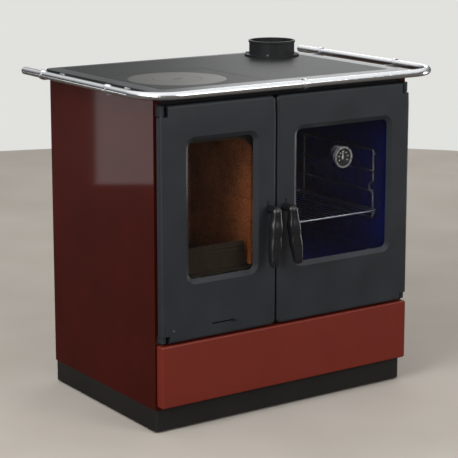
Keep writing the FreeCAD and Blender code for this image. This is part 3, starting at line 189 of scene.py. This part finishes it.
# Raw cast iron in the fire: rough from the sand, dulled by soot
def sootedIronFinish():
    look = {"iron": "2B2724", "soot": "100F0E", "sootMm": 30, "sandMm": 1.8, "sandDepthMm": 0.25}
    material, tree, shader, place = startMaterial("sooted cast iron", {
        "Metallic": 0.3, "Roughness": 0.7})
    soot = addNode(tree, "ShaderNodeTexNoise", sockets={
        "Vector": place, "Scale": perMetre(look["sootMm"]), "Detail": 6.0, "Roughness": 0.65})
    addNode(tree, "ShaderNodeValToRGB", sockets={"Fac": soot.outputs["Fac"]},
            stops=mottle(look["soot"], look["iron"]), feeds={"Color": shader.inputs["Base Color"]})
    sand = addNode(tree, "ShaderNodeTexNoise", sockets={
        "Vector": place, "Scale": perMetre(look["sandMm"]), "Detail": 4.0})
    addNode(tree, "ShaderNodeBump", sockets={
        "Height": sand.outputs["Fac"], "Distance": look["sandDepthMm"] * millimetre},
        feeds={"Normal": shader.inputs["Normal"]})
    return material


# Pressed fireclay brick: grog of a few millimetres in a baked body, open pores and a veil of soot
def fireclayFinish():
    look = {"clay": "96583A", "grog": "B57F58", "grogMm": 4, "poreMm": 2.6, "poreDepthMm": 0.5,
            "soot": "46281A", "sootMm": 120,
            "sootVeil": {"From Min": 0.35, "From Max": 0.75, "To Min": 0.15, "To Max": 0.8}}
    material, tree, shader, place = startMaterial("fireclay", {
        "Roughness": 0.92, "Specular IOR Level": 0.15})
    grog = addNode(tree, "ShaderNodeTexVoronoi", sockets={
        "Vector": place, "Scale": perMetre(look["grogMm"])})
    body = addNode(tree, "ShaderNodeValToRGB", sockets={"Fac": grog.outputs["Distance"]},
                   stops=mottle(look["grog"], look["clay"]))
    soot = addNode(tree, "ShaderNodeTexNoise", sockets={
        "Vector": place, "Scale": perMetre(look["sootMm"]), "Detail": 5.0, "Roughness": 0.6})
    veil = addNode(tree, "ShaderNodeMapRange", sockets={
        "Value": soot.outputs["Fac"], **look["sootVeil"]})
    addNode(tree, "ShaderNodeMix", {"data_type": "RGBA"}, {
        "Factor": veil.outputs["Result"], "A": body.outputs["Color"], "B": toLinear(look["soot"])},
        feeds={"Result": shader.inputs["Base Color"]})
    pores = addNode(tree, "ShaderNodeTexNoise", sockets={
        "Vector": place, "Scale": perMetre(look["poreMm"]), "Detail": 5.0, "Roughness": 0.7})
    addNode(tree, "ShaderNodeBump", sockets={
        "Height": pores.outputs["Fac"], "Distance": look["poreDepthMm"] * millimetre},
        feeds={"Normal": shader.inputs["Normal"]})
    return material


# Hard chrome on polished steel: a dark-and-bright mirror with the faintest polishing haze.
# Zinc plate is the same metal skin, greyer and duller.
def chromeFinish(name, look):
    hazeShare = 0.4  # the haze moves the roughness by this share either way
    material, tree, shader, place = startMaterial(name, {
        "Base Color": toLinear(look["tint"]), "Metallic": 1.0})
    haze = addNode(tree, "ShaderNodeTexNoise", sockets={
        "Vector": place, "Scale": perMetre(look["hazeMm"]), "Detail": 4.0})
    addNode(tree, "ShaderNodeMapRange", sockets={
        "Value": haze.outputs["Fac"], "To Min": look["roughness"] * (1 - hazeShare),
        "To Max": look["roughness"] * (1 + hazeShare)},
        feeds={"Result": shader.inputs["Roughness"]})
    return material


chromes = {
    "railChrome": {"tint": "ECEEF2", "roughness": 0.23, "hazeMm": 18},
    "wireChrome": {"tint": "D5D8DC", "roughness": 0.32, "hazeMm": 8},
    "bezelChrome": {"tint": "E6E7E9", "roughness": 0.3, "hazeMm": 6},
    "zincPlate": {"tint": "8E9094", "roughness": 0.42, "hazeMm": 10},
}


# Ground metal: the wheel leaves fine parallel scratches, stretched long in one direction.
# Real scratches are too fine to show, so they are drawn about a millimetre wide.
def groundFinish(name, look):
    scratchSheen = 0.08  # how far the scratches move the roughness either way
    material, tree, shader, place = startMaterial(name, {
        "Metallic": look["metallic"], "Specular IOR Level": look["specular"]})
    stretch = addNode(tree, "ShaderNodeMapping", sockets={
        "Vector": place, "Scale": look["stretch"]})
    scratch = addNode(tree, "ShaderNodeTexNoise", sockets={
        "Vector": stretch.outputs["Vector"], "Scale": perMetre(look["scratchMm"]), "Detail": 4.0})
    stain = addNode(tree, "ShaderNodeTexNoise", sockets={
        "Vector": place, "Scale": perMetre(look["stainMm"]), "Detail": 5.0})
    addNode(tree, "ShaderNodeValToRGB", sockets={"Fac": stain.outputs["Fac"]},
            stops=mottle(look["shade"], look["tint"]), feeds={"Color": shader.inputs["Base Color"]})
    addNode(tree, "ShaderNodeMapRange", sockets={
        "Value": scratch.outputs["Fac"],
        "To Min": look["roughness"] - scratchSheen, "To Max": look["roughness"] + scratchSheen},
        feeds={"Result": shader.inputs["Roughness"]})
    addNode(tree, "ShaderNodeBump", sockets={
        "Height": scratch.outputs["Fac"], "Distance": look["scratchDepthMm"] * millimetre},
        feeds={"Normal": shader.inputs["Normal"]})
    return material


groundMetals = {
    "hobIron": {"tint": "2A2B2C", "shade": "222324", "stainMm": 70, "metallic": 0.25,
                "stretch": (0.05, 1, 1), "scratchMm": 1.4, "scratchDepthMm": 0.012,
                "roughness": 0.5, "specular": 0.2},
    "rimIron": {"tint": "5F6163", "shade": "525456", "stainMm": 90, "metallic": 0.7,
                "stretch": (0.05, 1, 1), "scratchMm": 1.4, "scratchDepthMm": 0.01,
                "roughness": 0.36, "specular": 0.5},
}


# Turned cast iron: ring and cap come off the lathe with fine grooves round their middle.
# Real grooves of about a millimetre are too fine to show, so they are drawn ten millimetres apart.
def turnedIronFinish(name, middle):
    look = {"tint": "6E6D6A", "shade": "5E5D5B", "stainMm": 50, "grooveMm": 10,
            "grooveDepthMm": 0.02, "roughness": {"To Min": 0.38, "To Max": 0.55}}
    material, tree, shader, place = startMaterial(name, {"Metallic": 0.8})
    centred = addNode(tree, "ShaderNodeMapping", sockets={
        "Vector": place, "Location": (-middle.x, -middle.y, 0)})
    groove = addNode(tree, "ShaderNodeTexWave", {"wave_type": "RINGS", "rings_direction": "Z"}, {
        "Vector": centred.outputs["Vector"], "Scale": wavesPerMetre(look["grooveMm"])})
    stain = addNode(tree, "ShaderNodeTexNoise", sockets={
        "Vector": place, "Scale": perMetre(look["stainMm"]), "Detail": 5.0})
    addNode(tree, "ShaderNodeValToRGB", sockets={"Fac": stain.outputs["Fac"]},
            stops=mottle(look["shade"], look["tint"]), feeds={"Color": shader.inputs["Base Color"]})
    addNode(tree, "ShaderNodeMapRange", sockets={
        "Value": stain.outputs["Fac"], **look["roughness"]},
        feeds={"Result": shader.inputs["Roughness"]})
    addNode(tree, "ShaderNodeBump", sockets={
        "Height": groove.outputs["Fac"], "Distance": look["grooveDepthMm"] * millimetre},
        feeds={"Normal": shader.inputs["Normal"]})
    return material


# Knitted glass-fibre rope: dull grey stitches of about five millimetres crossing both ways, with
# painted shade darkening the gaps between them
def ropeFinish():
    look = {"yarn": "4A4742", "gap": "1D1B19", "stitchMm": 5, "stitchDepthMm": 0.6,
            "stitchTurns": (35, -35)}
    material, tree, shader, place = startMaterial("knitted glass-fibre rope", {
        "Roughness": 0.95, "Sheen Weight": 0.2, "Specular IOR Level": 0.1})
    rows = []
    for degrees in look["stitchTurns"]:
        turned = addNode(tree, "ShaderNodeMapping", sockets={
            "Vector": place, "Rotation": (0, math.radians(degrees), 0)})
        rows.append(addNode(tree, "ShaderNodeTexWave", {"bands_direction": "X"}, {
            "Vector": turned.outputs["Vector"], "Scale": wavesPerMetre(look["stitchMm"])}))
    stitch = addNode(tree, "ShaderNodeMath", {"operation": "MAXIMUM"}, {
        0: rows[0].outputs["Fac"], 1: rows[1].outputs["Fac"]})
    # the low places between stitches take the darker colour: painted shade in the gaps
    addNode(tree, "ShaderNodeValToRGB", sockets={"Fac": stitch.outputs["Value"]},
            stops=mottle(look["gap"], look["yarn"]), feeds={"Color": shader.inputs["Base Color"]})
    addNode(tree, "ShaderNodeBump", sockets={
        "Height": stitch.outputs["Value"], "Distance": look["stitchDepthMm"] * millimetre},
        feeds={"Normal": shader.inputs["Normal"]})
    return material


# Glass pane: clear or smoke-tinted in the melt; lamps reach what stands behind it
def glassFinish(name, tint):
    material, tree, shader = startMaterial(name, {
        "Base Color": toLinear(tint), "Roughness": 0.0, "IOR": 1.33,
        "Transmission Weight": 1.0})[:3]
    passing = addNode(tree, "ShaderNodeBsdfTransparent", sockets={"Color": toLinear(tint)})
    rays = addNode(tree, "ShaderNodeLightPath")
    addNode(tree, "ShaderNodeMixShader", sockets={
        0: rays.outputs["Is Shadow Ray"], 1: shader.outputs["BSDF"], 2: passing.outputs["BSDF"]},
        feeds={"Shader": tree.nodes["Material Output"].inputs["Surface"]})
    return material


# Phenolic moulding: black plastic pressed in a polished tool, glossy with a faint moulding ripple
def phenolicFinish():
    look = {"black": "171719", "bloom": "1D1D20", "rippleMm": 14, "rippleDepthMm": 0.02}
    material, tree, shader, place = startMaterial("black phenolic", {
        "IOR": 1.5, "Roughness": 0.25})
    ripple = addNode(tree, "ShaderNodeTexNoise", sockets={
        "Vector": place, "Scale": perMetre(look["rippleMm"]), "Detail": 2.0})
    addNode(tree, "ShaderNodeValToRGB", sockets={"Fac": ripple.outputs["Fac"]},
            stops=mottle(look["black"], look["bloom"]),
            feeds={"Color": shader.inputs["Base Color"]})
    addNode(tree, "ShaderNodeBump", sockets={
        "Height": ripple.outputs["Fac"], "Distance": look["rippleDepthMm"] * millimetre},
        feeds={"Normal": shader.inputs["Normal"]})
    return material


# Stove-enamelled dial and screen-printed ink: matt, with a faint grain in the paint
def inkFinish(name, look):
    material, tree, shader, place = startMaterial(name, {
        "Roughness": 0.6, "Specular IOR Level": 0.3})
    grain = addNode(tree, "ShaderNodeTexNoise", sockets={
        "Vector": place, "Scale": perMetre(look["grainMm"]), "Detail": 2.0})
    addNode(tree, "ShaderNodeValToRGB", sockets={"Fac": grain.outputs["Fac"]},
            stops=mottle(look["shade"], look["tint"]), feeds={"Color": shader.inputs["Base Color"]})
    return material


inks = {
    "dialBlack": {"tint": "131314", "shade": "0E0E0F", "grainMm": 1},
    "printWhite": {"tint": "EDEBE2", "shade": "E2E0D6", "grainMm": 1},
}


ringLow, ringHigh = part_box("hob_ring")
turnedIron = turnedIronFinish("turned cast iron", (ringLow + ringHigh) / 2)
finishes = {
    "black_sheet": castPaintFinish("black powder coat", castPaints["powderBlack"]),
    "grey_sheet": castPaintFinish("grey primer", castPaints["primerGrey"]),
    "maroon_enamel": enamelFinish("maroon vitreous enamel", enamels["maroon"]),
    "red_enamel": enamelFinish("red satin enamel", enamels["red"]),
    "frame_black": castPaintFinish("heat-proof black paint", castPaints["frameBlack"]),
    "fire_iron": sootedIronFinish(),
    "fireclay": fireclayFinish(),
    "blue_enamel": enamelFinish("cobalt vitreous enamel", enamels["blue"]),
    "wire_chrome": chromeFinish("chromed wire", chromes["wireChrome"]),
    "zinc_steel": chromeFinish("zinc-plated steel", chromes["zincPlate"]),
    "hob_iron": groundFinish("ground cast iron", groundMetals["hobIron"]),
    "rail_chrome": chromeFinish("polished chrome", chromes["railChrome"]),
    "door_iron": castPaintFinish("anthracite cast-iron paint", castPaints["anthracite"]),
    "rope_fibre": ropeFinish(),
    "fire_glass": glassFinish("smoke glass ceramic", "E6DCCF"),
    "oven_glass": glassFinish("tinted tempered glass", "E2E3E6"),
    "lens_glass": glassFinish("clear gauge glass", "F4F7F8"),
    "black_gloss": phenolicFinish(),
    "bezel_chrome": chromeFinish("polished bezel", chromes["bezelChrome"]),
    "dial_black": inkFinish("black dial enamel", inks["dialBlack"]),
    "needle_white": inkFinish("white printing ink", inks["printWhite"]),
}
ownFinish = {  # parts that are finished otherwise than the rest of their slot
    "hob_ring": turnedIron,
    "hob_cap": turnedIron,
    "hob_frame": groundFinish("ground rim of the hob", groundMetals["rimIron"]),
    "air_slider": finishes["frame_black"],
}
print("finishes made:", len(finishes))


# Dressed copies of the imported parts: merged, shaded by angle, edges broken where the maker does so

dressing = {
    "sharpDegrees": 32,
    "mergeMm": 0.01,
    "flatDegrees": 0.4,
    "bevelSteps": 2,
    "edgesMm": {  # how far each maker's edge is eased; parts not named keep the edges they have
        "hob_frame": 1.2, "hob_plate_fire": 1.0, "hob_plate_main": 1.0, "hob_ring": 1.0,
        "hob_cap": 1.0, "drawer_front": 0.6, "plinth": 0.5, "side_panel_left": 0.5,
        "side_panel_right": 0.5, "fire_door_frame": 0.7, "oven_door_frame": 0.7,
        "fire_hinge_blocks": 0.5, "oven_hinge_blocks": 0.5, "firebrick_left": 1.5,
        "firebrick_right": 1.5, "firebrick_rear": 1.5, "flue_collar": 0.8, "log_guard": 0.8,
        "fire_bed": 0.6, "fire_grate": 0.6, "air_slider": 0.3,
    },
}


def dressPart(name, slotName, look):
    source = frame["nodes"][name]
    shape = bmesh.new()
    shape.from_mesh(source.data)
    bmesh.ops.remove_doubles(shape, verts=shape.verts, dist=look["mergeMm"] * millimetre)
    bmesh.ops.dissolve_limit(shape, verts=shape.verts, edges=shape.edges,
                             angle_limit=math.radians(look["flatDegrees"]))
    sharpAngle = math.radians(look["sharpDegrees"])
    easing = look["edgesMm"].get(name)
    if easing:
        corners = [edge for edge in shape.edges
                   if edge.is_manifold and edge.calc_face_angle() > sharpAngle]
        bmesh.ops.bevel(shape, geom=corners, offset=easing * millimetre, offset_type="OFFSET",
                        segments=look["bevelSteps"], profile=0.5, affect="EDGES",
                        clamp_overlap=True, material=-1)
    for face in shape.faces:
        face.smooth = True
    for edge in shape.edges:
        edge.smooth = not edge.is_manifold or edge.calc_face_angle() < sharpAngle
    finishPiece(f"{name}_shown", shape, slotName, source["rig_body"], replaced=name)


def finishPiece(name, shape, slotName, body, replaced=None):
    mesh = bpy.data.meshes.new(name)
    shape.to_mesh(mesh)
    shape.free()
    piece = bpy.data.objects.new(name, mesh)
    bpy.context.scene.collection.objects.link(piece)
    mesh.materials.clear()
    mesh.materials.append(ownFinish.get(replaced) or finishes[slotName])
    evenShading = piece.modifiers.new("even shading", "WEIGHTED_NORMAL")
    evenShading.keep_sharp = True
    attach(piece, body)
    if replaced:
        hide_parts(replaced)


slotOf = {part["node"]: part["material_slot"] for part in frame["record"]["subparts"]}
for nodeName in sorted(frame["nodes"]):
    dressPart(nodeName, slotOf[nodeName], dressing)
print("parts dressed:", len(slotOf))


# Printed scale on the oven thermometer

dialPrint = {
    "sweepDegrees": 240, "stepDegrees": 8, "longEvery": 5,
    "tickWidthMm": 0.5, "tickMm": 2.0, "longTickMm": 3.4, "rimGapMm": 1.2,
    "inkMm": 0.06, "mergeMm": 0.006,
    "firstNumber": 50, "numberStep": 50, "numberMm": 4.2, "numberRadiusShare": 0.58,
}


def makeDialScale(look):
    low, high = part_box("thermometer_dial")
    middle = (low + high) / 2
    ink = look["inkMm"] * millimetre
    inkLevel = low.y - ink / 2
    radius = (high.x - low.x) / 2 - look["rimGapMm"] * millimetre
    stepCount = look["sweepDegrees"] // look["stepDegrees"]
    shape = bmesh.new()
    for step in range(stepCount + 1):
        turn = math.radians(step * look["stepDegrees"] - look["sweepDegrees"] / 2)
        tickName = "tickMm" if step % look["longEvery"] else "longTickMm"
        length = look[tickName] * millimetre
        tick = bmesh.ops.create_cube(shape, size=1)["verts"]
        bmesh.ops.scale(shape, verts=tick, vec=(look["tickWidthMm"] * millimetre, ink, length))
        bmesh.ops.translate(shape, verts=tick, vec=(0, 0, radius - length / 2))
        bmesh.ops.rotate(shape, verts=tick, cent=(0, 0, 0), matrix=Matrix.Rotation(turn, 3, "Y"))
        bmesh.ops.translate(shape, verts=tick, vec=(middle.x, inkLevel, middle.z))
    finishPiece("dial_scale", shape, "needle_white", "oven_door")

    reach = radius * look["numberRadiusShare"]
    upright = Matrix.Rotation(math.radians(90), 4, "X")
    for index in range(stepCount // look["longEvery"] + 1):
        degrees = index * look["longEvery"] * look["stepDegrees"] - look["sweepDegrees"] / 2
        turn = math.radians(degrees)
        lettering = bpy.data.curves.new("dial number", "FONT")
        lettering.body = str(look["firstNumber"] + index * look["numberStep"])
        lettering.size = look["numberMm"] * millimetre
        lettering.extrude = ink / 2
        lettering.align_x = "CENTER"
        lettering.align_y = "CENTER"
        sample = bpy.data.objects.new("dial number", lettering)
        mesh = bpy.data.meshes.new_from_object(sample)
        bpy.data.objects.remove(sample)
        seat = Matrix.Translation((middle.x + reach * math.sin(turn), inkLevel,
                                   middle.z + reach * math.cos(turn)))
        mesh.transform(seat @ upright)
        number = bmesh.new()
        number.from_mesh(mesh)
        bmesh.ops.remove_doubles(number, verts=number.verts, dist=look["mergeMm"] * millimetre)
        finishPiece(f"dial_number_{lettering.body}", number, "needle_white", "oven_door")


makeDialScale(dialPrint)
print("dial printed")


# Studio: pale round floor, soft lamps, pale surroundings and the camera at the photograph's angle

studio = {
    "floorColour": "CBC4BB", "floorPatch": "C2BBB1", "floorPatchMm": 400, "floorRadius": 3.83,
    "floorSides": 128, "floorMirrored": "544E48",
    "wallColour": "E1E1DE", "wallStrength": 1.0, "ambientColour": "FFFFFF", "ambientStrength": 0.5,
    # what polished parts mirror, from straight below to straight above
    "mirroredRoom": [(0.0, "8A837B"), (0.38, "6A655E"), (0.47, "1A1A1B"), (0.53, "2A2B2D"),
                     (0.66, "8A8B8B"), (0.8, "E8E8E6"), (1.0, "F6F6F4")],
    "mirroredStrength": 1.15,
    # panes mirror at their back face too, so bounces are counted: a ray above this was mirrored
    "mirroredAbove": 0.5,
    "lamps": [
        {"name": "left window", "at": (-3.4, -1.2, 2.6), "aim": (0, 0, 0.5),
         "wide": 2.4, "tall": 2.4, "watts": 98},
        {"name": "front fill", "at": (1.6, -4.2, 2.2), "aim": (0, 0, 0.45),
         "wide": 2.2, "tall": 2.2, "watts": 65},
        {"name": "left strip", "at": (-2.3, -1.9, 0.85), "aim": (0, -0.3, 0.6),
         "wide": 0.3, "tall": 1.6, "watts": 9, "onlyMirrored": True},
        {"name": "right strip", "at": (2.0, -0.6, 0.5), "aim": (0, -0.35, 0.5),
         "wide": 0.3, "tall": 0.9, "watts": 6, "onlyMirrored": True},
        {"name": "left rear card", "at": (-2.05, 2.45, 0.27), "aim": (-0.4, 0, 0.5),
         "wide": 0.5, "tall": 0.5, "watts": 1.3, "shape": "RECTANGLE", "onlyMirrored": True},
        {"name": "rear right", "at": (2.7, 3.0, 2.1), "aim": (0.3, 0, 0.87),
         "wide": 1.6, "tall": 1.6, "watts": 13},
    ],
}


# Limed boards seen from afar: pale, even and matt
def layFloor(look):
    shape = bmesh.new()
    bmesh.ops.create_circle(shape, cap_ends=True, segments=look["floorSides"],
                            radius=look["floorRadius"])
    mesh = bpy.data.meshes.new("floor")
    shape.to_mesh(mesh)
    shape.free()
    floor = bpy.data.objects.new("floor", mesh)
    bpy.context.scene.collection.objects.link(floor)
    material, tree, shader, place = startMaterial("pale floor", {
        "Roughness": 0.9, "Specular IOR Level": 0.0})
    patch = addNode(tree, "ShaderNodeTexNoise", sockets={
        "Vector": place, "Scale": perMetre(look["floorPatchMm"]), "Detail": 2.0})
    addNode(tree, "ShaderNodeValToRGB", sockets={"Fac": patch.outputs["Fac"]},
            stops=mottle(look["floorPatch"], look["floorColour"]),
            feeds={"Color": shader.inputs["Base Color"]})
    # enamel and panes mirror the floor only faintly, as through a polarising filter
    dimmed = addNode(tree, "ShaderNodeBsdfDiffuse", sockets={
        "Color": toLinear(look["floorMirrored"])})
    rays = addNode(tree, "ShaderNodeLightPath")
    inMirror = addNode(tree, "ShaderNodeMath", {"operation": "GREATER_THAN"}, {
        0: rays.outputs["Glossy Depth"], 1: look["mirroredAbove"]})
    addNode(tree, "ShaderNodeMixShader", sockets={
        0: inMirror.outputs["Value"], 1: shader.outputs["BSDF"], 2: dimmed.outputs["BSDF"]},
        feeds={"Shader": tree.nodes["Material Output"].inputs["Surface"]})
    mesh.materials.append(material)


def hangLamps(look):
    for lamp in look["lamps"]:
        data = bpy.data.lights.new(lamp["name"], "AREA")
        data.shape = lamp.get("shape", "ELLIPSE")
        data.size = lamp["wide"]
        data.size_y = lamp["tall"]
        data.energy = lamp["watts"]
        placed = bpy.data.objects.new(lamp["name"], data)
        placed.location = lamp["at"]
        placed.visible_camera = False
        placed.visible_diffuse = not lamp.get("onlyMirrored", False)  # these leave no pool of light
        facing = Vector(lamp["aim"]) - Vector(lamp["at"])
        placed.rotation_mode = "QUATERNION"
        placed.rotation_quaternion = facing.to_track_quat("-Z", "Y")
        bpy.context.scene.collection.objects.link(placed)


# Polished parts mirror a room that is bright above, dark at eye height and lighter at the floor
def surroundStove(look):
    world = bpy.data.worlds.new("studio")
    world.use_nodes = True
    bpy.context.scene.world = world
    tree = world.node_tree
    soft = tree.nodes["Background"]
    soft.inputs["Color"].default_value = toLinear(look["ambientColour"])
    soft.inputs["Strength"].default_value = look["ambientStrength"]
    shown = addNode(tree, "ShaderNodeBackground", sockets={
        "Color": toLinear(look["wallColour"]), "Strength": look["wallStrength"]})
    direction = addNode(tree, "ShaderNodeSeparateXYZ", sockets={
        "Vector": addNode(tree, "ShaderNodeTexCoord").outputs["Generated"]})
    height = addNode(tree, "ShaderNodeMapRange", sockets={
        "Value": direction.outputs["Z"], "From Min": -1.0, "From Max": 1.0})
    room = addNode(tree, "ShaderNodeValToRGB", sockets={"Fac": height.outputs["Result"]},
                   stops=look["mirroredRoom"])
    mirrored = addNode(tree, "ShaderNodeBackground", sockets={
        "Color": room.outputs["Color"], "Strength": look["mirroredStrength"]})
    rays = addNode(tree, "ShaderNodeLightPath")
    seen = addNode(tree, "ShaderNodeMath", {"operation": "MAXIMUM"}, {
        0: rays.outputs["Is Camera Ray"], 1: rays.outputs["Is Transmission Ray"]})
    plain = addNode(tree, "ShaderNodeMixShader", sockets={
        0: seen.outputs["Value"], 1: soft.outputs["Background"], 2: shown.outputs["Background"]})
    inMirror = addNode(tree, "ShaderNodeMath", {"operation": "GREATER_THAN"}, {
        0: rays.outputs["Glossy Depth"], 1: look["mirroredAbove"]})
    addNode(tree, "ShaderNodeMixShader", sockets={
        0: inMirror.outputs["Value"], 1: plain.outputs["Shader"],
        2: mirrored.outputs["Background"]},
        feeds={"Shader": tree.nodes["World Output"].inputs["Surface"]})


# The camera stands left of the front and above the hob, as in the photograph
viewpoint = {
    "at": (-2.4471, -3.5563, 1.4236), "yawDegrees": 34.351, "downDegrees": 10.939,
    "lens": 127.5, "sensor": 36, "shiftY": -0.12, "near": 0.1, "far": 50,
}


def placeCamera(look):
    data = bpy.data.cameras.new("camera")
    data.lens = look["lens"]
    data.sensor_width = look["sensor"]
    data.shift_y = look["shiftY"]
    data.clip_start = look["near"]
    data.clip_end = look["far"]
    camera = bpy.data.objects.new("camera", data)
    camera.location = look["at"]
    camera.rotation_euler = (math.radians(90 - look["downDegrees"]), 0,
                             -math.radians(look["yawDegrees"]))
    bpy.context.scene.collection.objects.link(camera)
    bpy.context.scene.camera = camera


layFloor(studio)
hangLamps(studio)
surroundStove(studio)
placeCamera(viewpoint)
bpy.context.scene.view_settings.view_transform = "Standard"
print("studio built")

bpy.context.view_layer.update()
